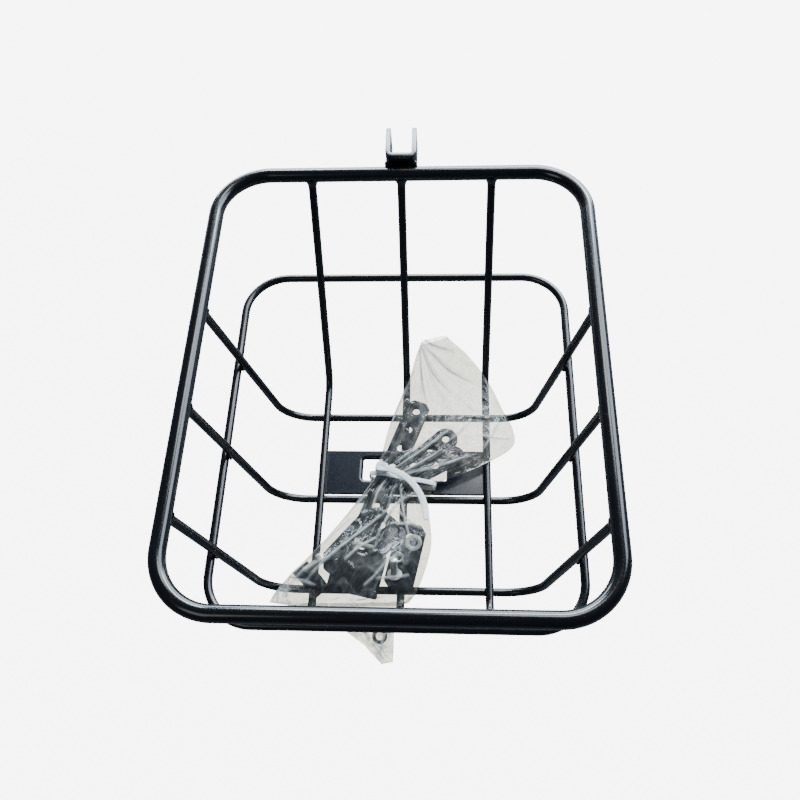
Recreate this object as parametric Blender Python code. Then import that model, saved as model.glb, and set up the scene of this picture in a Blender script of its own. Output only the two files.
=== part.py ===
"""Bicycle handlebar basket: welded steel rods under a tubular rim, with its fitting kit in a tied bag.

Part frame, in metres: +Z up, floor at Z = 0, +X to the rider's right, +Y towards the handlebar stem.
The origin is the middle of the whole outline on the floor.
"""
import math

import bmesh
import bpy
from mathutils import Matrix, Vector

MM = 0.001
GAP = 0.3 * MM

# Rim tube, measured on its centre line
RIM_HALF_WIDTH = 152.0 * MM
RIM_HALF_LENGTH = 185.0 * MM
RIM_CORNER = 42.0 * MM
RIM_RADIUS = 6.0 * MM
RIM_WALL = 1.2 * MM
RIM_ABOVE_LONG_WIRES = 180.0 * MM

# Rods, measured on their centre lines from the middle of the rim
ROD = 3.5 * MM
LONG_WIRE_PITCH = 76.0 * MM
LONG_BEND_BACK = 83.5 * MM
LONG_BEND_FRONT = -144.5 * MM
LONG_BEND_RADIUS = 22.0 * MM
CROSS_WIRES = {
    "cross_wire_back": 49.0 * MM,
    "cross_wire_middle": -35.0 * MM,
    "cross_wire_front": -119.0 * MM,
}
CROSS_BEND = 116.0 * MM
CROSS_BEND_RADIUS = 34.0 * MM
RING_ABOVE_LONG_WIRES = 91.0 * MM
RING_CORNER = 37.0 * MM

# Base plate under the outer long wires
PLATE_HALF_WIDTH = 78.0 * MM
PLATE_DEPTH = 44.0 * MM
PLATE_THICK = 2.0 * MM
WINDOW_HALF_WIDTH = 39.0 * MM
WINDOW_DEPTH = 21.0 * MM
WINDOW_BACK_STRIP = 8.0 * MM
WINDOW_CORNER = 2.5 * MM

# Stem bracket, a channel of bent strip behind the rim
BRACKET_WIDTH = 26.0 * MM
BRACKET_LENGTH = 32.0 * MM
BRACKET_THICK = 4.0 * MM
BRACKET_BEND = 6.0 * MM
BRACKET_TOP = 14.5 * MM
BRACKET_BOTTOM = -10.5 * MM
BRACKET_HOLE = 3.25 * MM
BRACKET_HOLE_FROM_TIP = 9.0 * MM

# Heights and the middle of the rim in the part frame
CROSS_Z = ROD
LONG_Z = CROSS_Z + 2 * ROD + GAP
RIM_Z = LONG_Z + RIM_ABOVE_LONG_WIRES
RING_Z = LONG_Z + RING_ABOVE_LONG_WIRES
BRACKET_FRONT = RIM_HALF_LENGTH + RIM_RADIUS + GAP
RIM_Y = -(BRACKET_FRONT + BRACKET_LENGTH - RIM_HALF_LENGTH - RIM_RADIUS) / 2

# Fitting kit
FILM = 0.5 * MM
BED_Z = LONG_Z + ROD + 0.4 * MM
KIT_Z = BED_Z + FILM + GAP
STRIP = 2.5 * MM
M6 = 3.0 * MM

RIM_SIDES = 12
ROD_SIDES = 10
ARC_STEP = math.radians(15)


def colour(name, rgb, roughness, metallic, alpha=1.0):
    """A plain painted or plated finish."""
    material = bpy.data.materials.new(name)
    material.use_nodes = True
    shader = material.node_tree.nodes["Principled BSDF"]
    shader.inputs["Base Color"].default_value = (*rgb, 1.0)
    shader.inputs["Roughness"].default_value = roughness
    shader.inputs["Metallic"].default_value = metallic
    shader.inputs["Alpha"].default_value = alpha
    return material


def add_object(name, bm, material):
    """One named solid from a bmesh, with its faces pointing out and its round sides smooth."""
    bmesh.ops.recalc_face_normals(bm, faces=bm.faces)
    mesh = bpy.data.meshes.new(name)
    bm.to_mesh(mesh)
    bm.free()
    mesh.materials.append(material)
    mesh.shade_smooth()
    mesh.set_sharp_from_angle(angle=math.radians(40))
    obj = bpy.data.objects.new(name, mesh)
    bpy.context.collection.objects.link(obj)
    return obj


def fillet(points, radii, closed=False):
    """A polyline whose corners are rounded to the given radii."""
    count = len(points)
    path = []
    for index, corner in enumerate(points):
        corner = Vector(corner)
        radius = radii[index]
        at_end = not closed and index in (0, count - 1)
        if at_end or radius == 0:
            path.append(corner)
            continue
        into = (Vector(points[index - 1]) - corner).normalized()
        out = (Vector(points[(index + 1) % count]) - corner).normalized()
        half = into.angle(out) / 2
        reach = radius / math.tan(half)
        centre = corner + (into + out).normalized() * radius / math.sin(half)
        start = corner + into * reach - centre
        axis = start.cross(corner + out * reach - centre).normalized()
        turn = math.pi - 2 * half
        steps = max(2, math.ceil(turn / ARC_STEP))
        for step in range(steps + 1):
            path.append(centre + Matrix.Rotation(turn * step / steps, 3, axis) @ start)
    return path


def tube_rings(bm, path, normal, radius, sides, closed):
    """Rings of vertices round a flat path, mitred where it turns."""
    rings = []
    count = len(path)
    for index, point in enumerate(path):
        before = path[index - 1] if closed or index > 0 else point
        after = path[(index + 1) % count] if closed or index < count - 1 else point
        along = (after - before).normalized()
        across = along.cross(normal).normalized()
        ring = []
        for side in range(sides):
            angle = 2 * math.pi * (side + 0.5) / sides
            spoke = math.cos(angle) * across + math.sin(angle) * normal
            ring.append(bm.verts.new(point + radius * spoke))
        rings.append(ring)
    return rings


def skin(bm, rings, closed):
    """Faces between neighbouring rings."""
    count = len(rings)
    for index in range(count if closed else count - 1):
        first = rings[index]
        second = rings[(index + 1) % count]
        for side in range(len(first)):
            after = (side + 1) % len(first)
            bm.faces.new((first[side], first[after], second[after], second[side]))


def rod(name, path, normal, material, closed=False):
    """A solid round rod along a flat path."""
    bm = bmesh.new()
    rings = tube_rings(bm, path, Vector(normal), ROD, ROD_SIDES, closed)
    skin(bm, rings, closed)
    if not closed:
        bm.faces.new(rings[0])
        bm.faces.new(rings[-1])
    return add_object(name, bm, material)


def flat_blank(outline, holes, thickness):
    """A flat blank with holes, lying on Z = 0."""
    bm = bmesh.new()
    edges = []
    for loop in [outline, *holes]:
        verts = [bm.verts.new((x, y, 0)) for x, y in loop]
        for index, vert in enumerate(verts):
            edges.append(bm.edges.new((vert, verts[(index + 1) % len(verts)])))
    bmesh.ops.triangle_fill(bm, use_beauty=True, use_dissolve=False, edges=edges)
    grown = bmesh.ops.extrude_face_region(bm, geom=bm.faces[:])
    top = [item for item in grown["geom"] if isinstance(item, bmesh.types.BMVert)]
    bmesh.ops.translate(bm, verts=top, vec=(0, 0, thickness))
    return bm


def circle(x, y, radius, sides=10):
    """Points round a circle."""
    turns = [2 * math.pi * index / sides for index in range(sides)]
    return [(x + radius * math.cos(turn), y + radius * math.sin(turn)) for turn in turns]


def rounded_rectangle(low, high, radius):
    """Outline of a rectangle with rounded corners."""
    corners = [(low[0], low[1], 0), (high[0], low[1], 0), (high[0], high[1], 0), (low[0], high[1], 0)]
    return [(point.x, point.y) for point in fillet(corners, [radius] * 4, closed=True)]


def rim_tube(material):
    """Tubular rim, bent from one length whose ends meet behind the bracket."""
    x, y = RIM_HALF_WIDTH, RIM_HALF_LENGTH
    seam = GAP / 2
    points = [(seam, y, 0), (x, y, 0), (x, -y, 0), (-x, -y, 0), (-x, y, 0), (-seam, y, 0)]
    path = fillet(points, [0, RIM_CORNER, RIM_CORNER, RIM_CORNER, RIM_CORNER, 0])
    path = [point + Vector((0, RIM_Y, RIM_Z)) for point in path]
    bm = bmesh.new()
    up = Vector((0, 0, 1))
    outer = tube_rings(bm, path, up, RIM_RADIUS, RIM_SIDES, False)
    inner = tube_rings(bm, path, up, RIM_RADIUS - RIM_WALL, RIM_SIDES, False)
    skin(bm, outer, False)
    skin(bm, inner, False)
    skin(bm, [outer[0], inner[0]], False)
    skin(bm, [outer[-1], inner[-1]], False)
    return add_object("rim_tube", bm, material)


def trimmed_to_rim(foot, top):
    """The end of a rod that stops just short of the rim tube it is welded under."""
    foot, top = Vector(foot), Vector(top)
    return top + (foot - top).normalized() * (RIM_RADIUS + GAP)


def long_wire(name, x, material):
    """A rod from the rim's front end, along the bottom, to its back end."""
    front = (x, RIM_Y + LONG_BEND_FRONT, LONG_Z)
    back = (x, RIM_Y + LONG_BEND_BACK, LONG_Z)
    start = trimmed_to_rim(front, (x, RIM_Y - RIM_HALF_LENGTH, RIM_Z))
    end = trimmed_to_rim(back, (x, RIM_Y + RIM_HALF_LENGTH, RIM_Z))
    path = fillet([start, front, back, end], [0, LONG_BEND_RADIUS, LONG_BEND_RADIUS, 0])
    return rod(name, path, (1, 0, 0), material)


def cross_wire(name, y, material):
    """A rod from one side of the rim, under the long wires, to the other side."""
    left = (-CROSS_BEND, RIM_Y + y, CROSS_Z)
    right = (CROSS_BEND, RIM_Y + y, CROSS_Z)
    start = trimmed_to_rim(left, (-RIM_HALF_WIDTH, RIM_Y + y, RIM_Z))
    end = trimmed_to_rim(right, (RIM_HALF_WIDTH, RIM_Y + y, RIM_Z))
    path = fillet([start, left, right, end], [0, CROSS_BEND_RADIUS, CROSS_BEND_RADIUS, 0])
    return rod(name, path, (0, 1, 0), material)


def beside_wire(foot, foot_z, top):
    """Where the ring's centre lies when it touches the outside of a sloping wire."""
    slope = (top - foot) / (RIM_Z - foot_z)
    at_ring = foot + slope * (RING_Z - foot_z)
    return at_ring + math.copysign((2 * ROD + GAP) * math.hypot(1, slope), top)


def side_ring(material):
    """Closed ring welded round the outside of the wires at half height."""
    x = beside_wire(CROSS_BEND, CROSS_Z, RIM_HALF_WIDTH)
    back = beside_wire(LONG_BEND_BACK, LONG_Z, RIM_HALF_LENGTH)
    front = beside_wire(LONG_BEND_FRONT, LONG_Z, -RIM_HALF_LENGTH)
    corners = [(-x, front, 0), (x, front, 0), (x, back, 0), (-x, back, 0)]
    path = fillet(corners, [RING_CORNER] * 4, closed=True)
    path = [point + Vector((0, RIM_Y, RING_Z)) for point in path]
    return rod("side_ring", path, (0, 0, 1), material, closed=True)


def base_plate(material):
    """Pressed plate under the outer long wires, with the window that the carrier hook passes through."""
    front = RIM_Y + CROSS_WIRES["cross_wire_middle"] + ROD + GAP
    back = front + PLATE_DEPTH
    outline = rounded_rectangle((-PLATE_HALF_WIDTH, front), (PLATE_HALF_WIDTH, back), 1.5 * MM)
    window_back = back - WINDOW_BACK_STRIP
    window_front = window_back - WINDOW_DEPTH
    window = rounded_rectangle(
        (-WINDOW_HALF_WIDTH, window_front), (WINDOW_HALF_WIDTH, window_back), WINDOW_CORNER
    )
    bm = flat_blank(outline, [window], PLATE_THICK)
    bmesh.ops.translate(bm, verts=bm.verts, vec=(0, 0, LONG_Z - ROD - GAP - PLATE_THICK))
    return add_object("base_plate", bm, material)


def stem_bracket(material):
    """Channel bent from strip, its web against the back of the rim and its prongs pointing at the stem."""
    half = BRACKET_WIDTH / 2
    inner = half - BRACKET_THICK
    tip = BRACKET_LENGTH
    web = BRACKET_THICK
    inside_bend = BRACKET_BEND - BRACKET_THICK
    outside = fillet(
        [(-half, tip, 0), (-half, 0, 0), (half, 0, 0), (half, tip, 0)],
        [0, BRACKET_BEND, BRACKET_BEND, 0],
    )
    inside = fillet(
        [(inner, tip, 0), (inner, web, 0), (-inner, web, 0), (-inner, tip, 0)],
        [0, inside_bend, inside_bend, 0],
    )
    outline = [(point.x, point.y) for point in [*outside, *inside]]
    bm = flat_blank(outline, [], BRACKET_TOP - BRACKET_BOTTOM)
    place = Vector((0, RIM_Y + BRACKET_FRONT, RIM_Z + BRACKET_BOTTOM))
    bmesh.ops.translate(bm, verts=bm.verts, vec=place)
    bracket = add_object("stem_bracket", bm, material)
    hole_y = RIM_Y + BRACKET_FRONT + BRACKET_LENGTH - BRACKET_HOLE_FROM_TIP
    hole_z = RIM_Z + (BRACKET_TOP + BRACKET_BOTTOM) / 2
    cut_with_pin(bracket, "bracket_drill", (0, hole_y, hole_z), BRACKET_HOLE, BRACKET_WIDTH * 1.5)
    return bracket


def cut_with_pin(target, name, centre, radius, length):
    """A round hole along X through a piece."""
    bm = bmesh.new()
    turn = Matrix.Translation(centre) @ Matrix.Rotation(math.pi / 2, 4, "Y")
    bmesh.ops.create_cone(
        bm, cap_ends=True, segments=12, radius1=radius, radius2=radius, depth=length, matrix=turn
    )
    drill = add_object(name, bm, target.data.materials[0])
    drill.hide_render = True
    drill.display_type = "WIRE"
    cut = target.modifiers.new("hole", "BOOLEAN")
    cut.operation = "DIFFERENCE"
    cut.object = drill


# Where each edge of the bag runs on plan from the middle of the rim, with the film's lowest and highest
# point above the bed: (left x, left y, right x, right y, low, high), all in millimetres.
BAG_STATIONS = (
    (14, 100, 39, 108, 40, 49),
    (9, 94, 58, 97, 27, 37),
    (3, 82, 77, 80, 9, 17),
    (-6, 63, 92, 52, 0, 15),
    (-16, 32, 101, 31, 0, 19),
    (-21, 8, 99, 12, 0, 20),
    (-25, -6, 68, -8, 1.5, 20),
    (-28.5, -16.6, 28.5, -25.6, 2.5, 19),
    (-29.5, -23.4, 27.5, -32.4, 2.5, 19),
    (-38, -36, 21, -44, 1, 21),
    (-52, -56, 25, -62, 0, 26),
    (-68, -77, 26, -82, 0, 32),
    (-84, -96, 22, -101, 0, 34),
    (-103, -118, 16, -119, 0, 34),
    (-109, -127, 12, -127, 0.4, 33),
    (-112, -135, 8, -133, 2.8, 29),
    (-86, -139, -1, -137, 5.6, 21),
    (-71.2, -141, -4.8, -141, 4.6, 14),
    (-69, -144.5, -4.8, -144.5, -1, 8),
    (-48, -154, -4.8, -154, -11, -3),
    (-30, -166, -4.8, -166, -13.8, -7.5),
    (-15, -181, -5.2, -179, -13.8, -9),
)
NECK = 7
BAG_SIDES = 20
BAG_ROUND = 0.6
BAG_FLAT = 0.1


def film_loop(station, grow):
    """A flattened loop between the bag's left and right edges: round above, nearly flat below."""
    left_x, left_y, right_x, right_y, low, high = [value * MM for value in station]
    left = Vector((left_x, left_y + RIM_Y, 0))
    right = Vector((right_x, right_y + RIM_Y, 0))
    across = (right - left).normalized()
    half_width = (right - left).length / 2 + grow
    half_height = (high - low) / 2 + grow
    centre = (left + right) / 2 + Vector((0, 0, BED_Z + (low + high) / 2))
    loop = []
    for side in range(BAG_SIDES):
        angle = 2 * math.pi * side / BAG_SIDES
        flat = math.copysign(abs(math.cos(angle)) ** BAG_ROUND, math.cos(angle))
        power = BAG_ROUND if side < BAG_SIDES / 2 else BAG_FLAT
        rise = math.copysign(abs(math.sin(angle)) ** power, math.sin(angle))
        loop.append(centre + across * flat * half_width + Vector((0, 0, rise * half_height)))
    return loop


def kit_bag(material):
    """Film bag round the fittings: open at its top end, closed at its tail, gathered at its neck."""
    bm = bmesh.new()
    outer = [[bm.verts.new(point) for point in film_loop(station, 0)] for station in BAG_STATIONS]
    inner = [[bm.verts.new(point) for point in film_loop(station, -FILM)] for station in BAG_STATIONS[:-1]]
    skin(bm, outer, False)
    skin(bm, inner, False)
    skin(bm, [outer[0], inner[0]], False)
    bm.faces.new(outer[-1])
    bm.faces.new(inner[-1])
    return add_object("kit_bag", bm, material)


def lay(bm, x, y, z, turn, tilt=0.0):
    """Place a blank whose length runs along its own Y: position from the rim's middle, turn about Z."""
    place = Matrix.Translation((x * MM, y * MM + RIM_Y, z))
    place = place @ Matrix.Rotation(math.radians(turn), 4, "Z")
    place = place @ Matrix.Rotation(math.radians(tilt), 4, "X")
    bmesh.ops.transform(bm, matrix=place, verts=bm.verts)


def strap(name, width, holes, end_margin, thickness, place, material, rounded=False):
    """A perforated steel strap; its first hole is at its own origin and the rest follow along -Y."""
    half = width / 2
    far = end_margin
    near = -holes[-1] - end_margin
    if rounded:
        outline = rounded_rectangle((-half, near), (half, far), half * 0.98)
    else:
        cut = half * 0.45
        outline = [
            (-half, near + cut), (-half + cut, near), (half - cut, near), (half, near + cut),
            (half, far - cut), (half - cut, far), (-half + cut, far), (-half, far - cut),
        ]
    bm = flat_blank(outline, [circle(0, -hole, M6 * 1.15, 8) for hole in holes], thickness)
    lay(bm, *place)
    return add_object(name, bm, material)


def channel(name, width, depth, height, thickness, place, material):
    """A folded channel: a web with two upright flanges."""
    half = width / 2
    inner = half - thickness
    outline = [
        (-half, 0), (half, 0), (half, height), (inner, height),
        (inner, thickness), (-inner, thickness), (-inner, height), (-half, height),
    ]
    bm = flat_blank(outline, [], depth)
    bmesh.ops.transform(bm, matrix=Matrix.Rotation(math.pi / 2, 4, "X"), verts=bm.verts)
    bmesh.ops.translate(bm, verts=bm.verts, vec=(0, depth / 2, 0))
    lay(bm, *place)
    return add_object(name, bm, material)


def saddle_clamp(name, bore, thickness, width, lug, place, material):
    """Half of a handlebar clamp: a half round with a flat lug at each foot."""
    steps = 8
    outer, inner = bore + thickness, bore
    arc = [math.pi * step / steps for step in range(steps + 1)]
    outline = [(outer + lug, 0), (outer + lug, thickness)]
    outline += [(outer * math.cos(turn), max(thickness, outer * math.sin(turn))) for turn in arc[1:-1]]
    outline += [(-outer - lug, thickness), (-outer - lug, 0)]
    outline += [(inner * math.cos(turn), inner * math.sin(turn)) for turn in reversed(arc)]
    bm = flat_blank(outline, [], width)
    bmesh.ops.transform(bm, matrix=Matrix.Rotation(math.pi / 2, 4, "X"), verts=bm.verts)
    bmesh.ops.translate(bm, verts=bm.verts, vec=(0, width / 2, 0))
    lay(bm, *place)
    return add_object(name, bm, material)


def revolved(profile, sides):
    """A solid turned from a profile of (radius, height) pairs, round +Z."""
    bm = bmesh.new()
    rings = []
    for radius, height in profile:
        points = circle(0, 0, radius, sides)
        rings.append([bm.verts.new((x, y, height)) for x, y in points])
    skin(bm, rings, False)
    return bm, rings


def flange_bolt(name, length, place, material):
    """A bolt standing on its round flange head."""
    flange = 6.6 * MM
    profile = [(flange, 0), (flange, 1.6 * MM), (M6, 2.2 * MM), (M6, length - 1 * MM), (M6 * 0.75, length)]
    bm, rings = revolved(profile, 12)
    bm.faces.new(rings[0])
    bm.faces.new(rings[-1])
    lay(bm, *place)
    return add_object(name, bm, material)


def hex_bolt(name, length, place, material):
    """A hexagon bolt lying on its side, its shank along -Y."""
    bm, rings = revolved([(5.0 * MM, 0), (5.0 * MM, 3.6 * MM), (2.5 * MM, 3.6 * MM), (2.5 * MM, length)], 6)
    bm.faces.new(rings[0])
    bm.faces.new(rings[-1])
    bmesh.ops.transform(bm, matrix=Matrix.Rotation(math.pi / 2, 4, "X"), verts=bm.verts)
    lay(bm, *place)
    return add_object(name, bm, material)


def ring_part(name, outer, inner, thickness, sides, place, material):
    """A washer, or a nut where it has six sides."""
    bm = flat_blank(circle(0, 0, outer, sides), [circle(0, 0, inner, sides)], thickness)
    lay(bm, *place)
    return add_object(name, bm, material)


# Cable tie round the bag's neck
TIE_THICK = 1.3 * MM
TIE_HALF_WIDTH = 2.4 * MM
TIE_CLEARANCE = 0.35 * MM
TIE_HEAD = (4.2 * MM, 3.6 * MM, 2.6 * MM)
# The free end, on plan from the middle of the rim with its height above the bed, in millimetres
TIE_TAIL = ((-19, -17, 23), (-8, -21, 24.6), (4, -28, 24.8), (14, -40, 25.2), (20, -54, 26), (22, -68, 28))


def strip_along(points, sideways, closed):
    """A band of the tie's own section along a route; sideways is the way its width lies at each point."""
    bm = bmesh.new()
    rings = []
    count = len(points)
    for index, point in enumerate(points):
        before = points[index - 1] if closed or index > 0 else point
        after = points[(index + 1) % count] if closed or index < count - 1 else point
        wide = sideways[index]
        thick = (after - before).normalized().cross(wide).normalized()
        ring = []
        for side, level in ((-1, -1), (1, -1), (1, 1), (-1, 1)):
            ring.append(bm.verts.new(point + wide * side * TIE_HALF_WIDTH + thick * level * TIE_THICK / 2))
        rings.append(ring)
    skin(bm, rings, closed)
    if not closed:
        bm.faces.new(rings[0])
        bm.faces.new(rings[-1])
    return bm


def cable_tie(material):
    """Nylon tie: a band round the neck, with a head whose free end lies back over the pouch."""
    neck = [(a + b) / 2 for a, b in zip(BAG_STATIONS[NECK], BAG_STATIONS[NECK + 1])]
    loop = film_loop(neck, TIE_CLEARANCE + TIE_THICK / 2)
    across = (loop[0] - loop[BAG_SIDES // 2]).normalized()
    along = Vector((0, 0, 1)).cross(across)
    band = add_object("cable_tie", strip_along(loop, [along] * BAG_SIDES, True), material)

    tail = [Vector((x * MM, y * MM + RIM_Y, BED_Z + z * MM)) for x, y, z in TIE_TAIL]
    sideways = []
    for index in range(len(tail)):
        run = tail[min(index + 1, len(tail) - 1)] - tail[max(index - 1, 0)]
        sideways.append(run.cross(Vector((0, 0, 1))).normalized())
    free_end = add_object("cable_tie_free_end", strip_along(tail, sideways, False), material)

    bm = bmesh.new()
    bmesh.ops.create_cube(bm, size=2.0)
    size = Matrix.Diagonal((*TIE_HEAD, 1))
    turn = math.degrees(math.atan2(across.y, across.x))
    bmesh.ops.transform(bm, matrix=size, verts=bm.verts)
    lay(bm, TIE_TAIL[0][0], TIE_TAIL[0][1], BED_Z + 22.3 * MM, turn)
    head = add_object("cable_tie_head", bm, material)
    for other in (head, free_end):
        other.hide_render = True
        other.display_type = "WIRE"
        join = band.modifiers.new(other.name, "BOOLEAN")
        join.operation = "UNION"
        join.object = other
    return band


def clear_scene():
    """Remove whatever the scene already holds."""
    for obj in list(bpy.data.objects):
        bpy.data.objects.remove(obj, do_unlink=True)


def build_basket():
    """The welded basket."""
    rim_paint = colour("rim_paint", (0.012, 0.013, 0.016), 0.28, 0.0)
    rod_paint = colour("rod_paint", (0.010, 0.011, 0.014), 0.34, 0.0)
    plate_paint = colour("plate_paint", (0.016, 0.020, 0.028), 0.42, 0.0)
    rim_tube(rim_paint)
    side_ring(rod_paint)
    for name, x in (("long_wire_left", -1), ("long_wire_middle", 0), ("long_wire_right", 1)):
        long_wire(name, x * LONG_WIRE_PITCH, rod_paint)
    for name, y in CROSS_WIRES.items():
        cross_wire(name, y, rod_paint)
    base_plate(plate_paint)
    stem_bracket(plate_paint)


def build_kit():
    """The fittings in their bag."""
    film = colour("bag_film", (0.85, 0.86, 0.84), 0.15, 0.0, alpha=0.3)
    black = colour("fitting_paint", (0.012, 0.015, 0.022), 0.4, 0.0)
    zinc = colour("zinc_plate", (0.62, 0.63, 0.61), 0.3, 1.0)
    nylon = colour("tie_nylon", (0.86, 0.88, 0.87), 0.4, 0.0)
    rubber = colour("rubber", (0.03, 0.03, 0.03), 0.7, 0.0)
    kit_bag(film)
    cable_tie(nylon)
    pitch = 20 * MM
    deck = BED_Z + 3.5 * MM
    layer = STRIP + 0.4 * MM
    strap("stay_strap_short", 22 * MM, [pitch * step for step in range(4)], 11 * MM, STRIP,
          (38, 19, deck, -47), black, rounded=True)
    strap("stay_strap_long", 22 * MM, [pitch * step for step in range(7)], 11 * MM, STRIP,
          (10.2, 46, deck + layer, -19.9), black)
    strap("lamp_strap", 18 * MM, [0, pitch, 2 * pitch], 9 * MM, STRIP,
          (46, 0, deck + 2 * layer, -60), black, rounded=True)
    strap("clamp_plate", 43 * MM, [0, 25 * MM, 50 * MM], 12 * MM, STRIP,
          (-18.6, -64.6, KIT_Z + 1.0 * MM, -40), black)
    base = KIT_Z + STRIP + 1.4 * MM
    strap("carrier_plate", 26 * MM, [0, 36 * MM], 12 * MM, STRIP, (7.2, -76, base, -12), black)
    channel("fork_channel", 42 * MM, 36 * MM, 17 * MM, 3 * MM, (-36.5, -110, base + 1 * MM, -12), black)
    saddle_clamp("saddle_clamp", 9 * MM, 3 * MM, 16 * MM, 3 * MM, (-77, -115.5, base, -46), black)
    flange_bolt("flange_bolt", 21 * MM, (-5, -111, base + 5.5 * MM, 0, -22), zinc)
    hex_bolt("clamp_bolt_left", 18 * MM, (-67, -100.5, base + 17.6 * MM, -50), zinc)
    hex_bolt("clamp_bolt_right", 18 * MM, (-41, -83.8, base + 7 * MM, 75), zinc)
    ring_part("loose_washer", 7.5 * MM, 3.6 * MM, 1.5 * MM, 16, (10.5, -82, base + layer, 0), zinc)
    ring_part("rubber_washer", 6.5 * MM, 3.2 * MM, 1.6 * MM, 16,
              (-17, -158.5, BED_Z - 9.2 * MM, 0, 15), rubber)
    ring_part("flange_nut", 5 * MM, 2.9 * MM, 5 * MM, 6, (-2, -96, base + layer, 10), zinc)


def main():
    clear_scene()
    build_basket()
    build_kit()


main()
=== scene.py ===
"""Wire handlebar basket with its fitting kit lying in it in a tied film bag."""
import math
from itertools import product

import bmesh
import bpy
import numpy as np
from mathutils import Matrix, Vector, noise
from mathutils.bvhtree import BVHTree


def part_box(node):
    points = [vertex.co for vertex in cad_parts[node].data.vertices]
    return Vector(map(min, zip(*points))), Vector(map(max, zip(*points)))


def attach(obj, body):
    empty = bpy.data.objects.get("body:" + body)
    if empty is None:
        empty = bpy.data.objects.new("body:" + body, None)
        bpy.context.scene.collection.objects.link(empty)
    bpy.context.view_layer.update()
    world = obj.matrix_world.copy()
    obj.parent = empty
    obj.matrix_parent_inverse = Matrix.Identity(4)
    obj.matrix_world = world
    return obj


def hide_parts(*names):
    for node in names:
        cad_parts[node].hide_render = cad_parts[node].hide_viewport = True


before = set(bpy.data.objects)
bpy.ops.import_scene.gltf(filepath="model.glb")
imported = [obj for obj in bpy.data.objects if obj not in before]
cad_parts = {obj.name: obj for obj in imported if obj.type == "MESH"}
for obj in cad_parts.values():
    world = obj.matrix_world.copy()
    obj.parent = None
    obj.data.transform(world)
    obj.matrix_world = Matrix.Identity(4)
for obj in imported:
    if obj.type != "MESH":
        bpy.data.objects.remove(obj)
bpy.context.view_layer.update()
MM = 0.001
FLOOR_GLOW = 7.0

# The basket's own sizes, and its places read from the frame
ROD = 3.5 * MM
RIM_TUBE = 6.0 * MM
ROD_FLAT = ROD * math.cos(math.pi / 10)  # the CAD rods have ten flats, and their boxes reach to those
RIM_FLAT = RIM_TUBE * math.cos(math.pi / 12)  # the CAD rim has twelve
RIM_CORNER = 42 * MM
RING_CORNER = 37 * MM
LONG_BEND = 22 * MM
CROSS_BEND = 34 * MM
CROSS_BEND_X = 116 * MM
LONG_BEND_BACK = 83.5 * MM
LONG_BEND_FRONT = -144.5 * MM
UP = Vector((0, 0, 1))


def box(node):
    """Lowest and highest corner of a CAD node as vectors."""
    low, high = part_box(node)
    return Vector(low), Vector(high)


def middle(node):
    """Middle of a CAD node's box."""
    low, high = box(node)
    return (low + high) / 2


def half_route(node, flat):
    """Half the length and width of a closed bar's centre line."""
    low, high = box(node)
    return (high - low) / 2 - Vector((1, 1, 0)) * flat


RIM = middle("rim_tube")
RING = middle("side_ring")
RIM_HALF = half_route("rim_tube", RIM_FLAT)
RING_HALF = half_route("side_ring", ROD_FLAT)
LONG_Z = box("long_wire_middle")[0].z + ROD_FLAT
CROSS_Z = box("cross_wire_middle")[0].z + ROD_FLAT
LONG_X = {name: middle(name).x for name in ("long_wire_left", "long_wire_middle", "long_wire_right")}
CROSS_Y = {name: middle(name).y for name in ("cross_wire_back", "cross_wire_middle", "cross_wire_front")}


# Materials


def linear(hex_text):
    """An sRGB hex colour as the linear values a shader takes."""
    values = []
    for start in (0, 2, 4):
        part = int(hex_text[start:start + 2], 16) / 255
        values.append(part / 12.92 if part <= 0.04045 else ((part + 0.055) / 1.055) ** 2.4)
    return (*values, 1.0)


def add(tree, kind, inputs=None, stops=(), **settings):
    """Add a node: its settings, its inputs set or linked, and a ramp's stops as (place, grey or hex)."""
    new = tree.nodes.new("ShaderNode" + kind)
    for name, value in settings.items():
        setattr(new, name, value)
    for name, value in (inputs or {}).items():
        if isinstance(value, bpy.types.Node):
            value = next(output for output in value.outputs if output.enabled)
        if isinstance(value, bpy.types.NodeSocket):
            tree.links.new(value, new.inputs[name])
        else:
            new.inputs[name].default_value = value
    if stops:
        elements = new.color_ramp.elements
        while len(elements) < len(stops):
            elements.new(0.5)
        for element, (place, level) in zip(elements, stops):
            element.position = place
            element.color = linear(level) if isinstance(level, str) else (level, level, level, 1)
    return new


def start_material(name):
    """A material with an empty node tree, and its object coordinates."""
    material = bpy.data.materials.new(name)
    material.use_nodes = True
    tree = material.node_tree
    tree.nodes.clear()
    return material, tree, add(tree, "TexCoord").outputs["Object"]


def finished(material, shader):
    """The material with its surface joined to its output."""
    add(material.node_tree, "OutputMaterial", {"Surface": shader})
    return material


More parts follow.
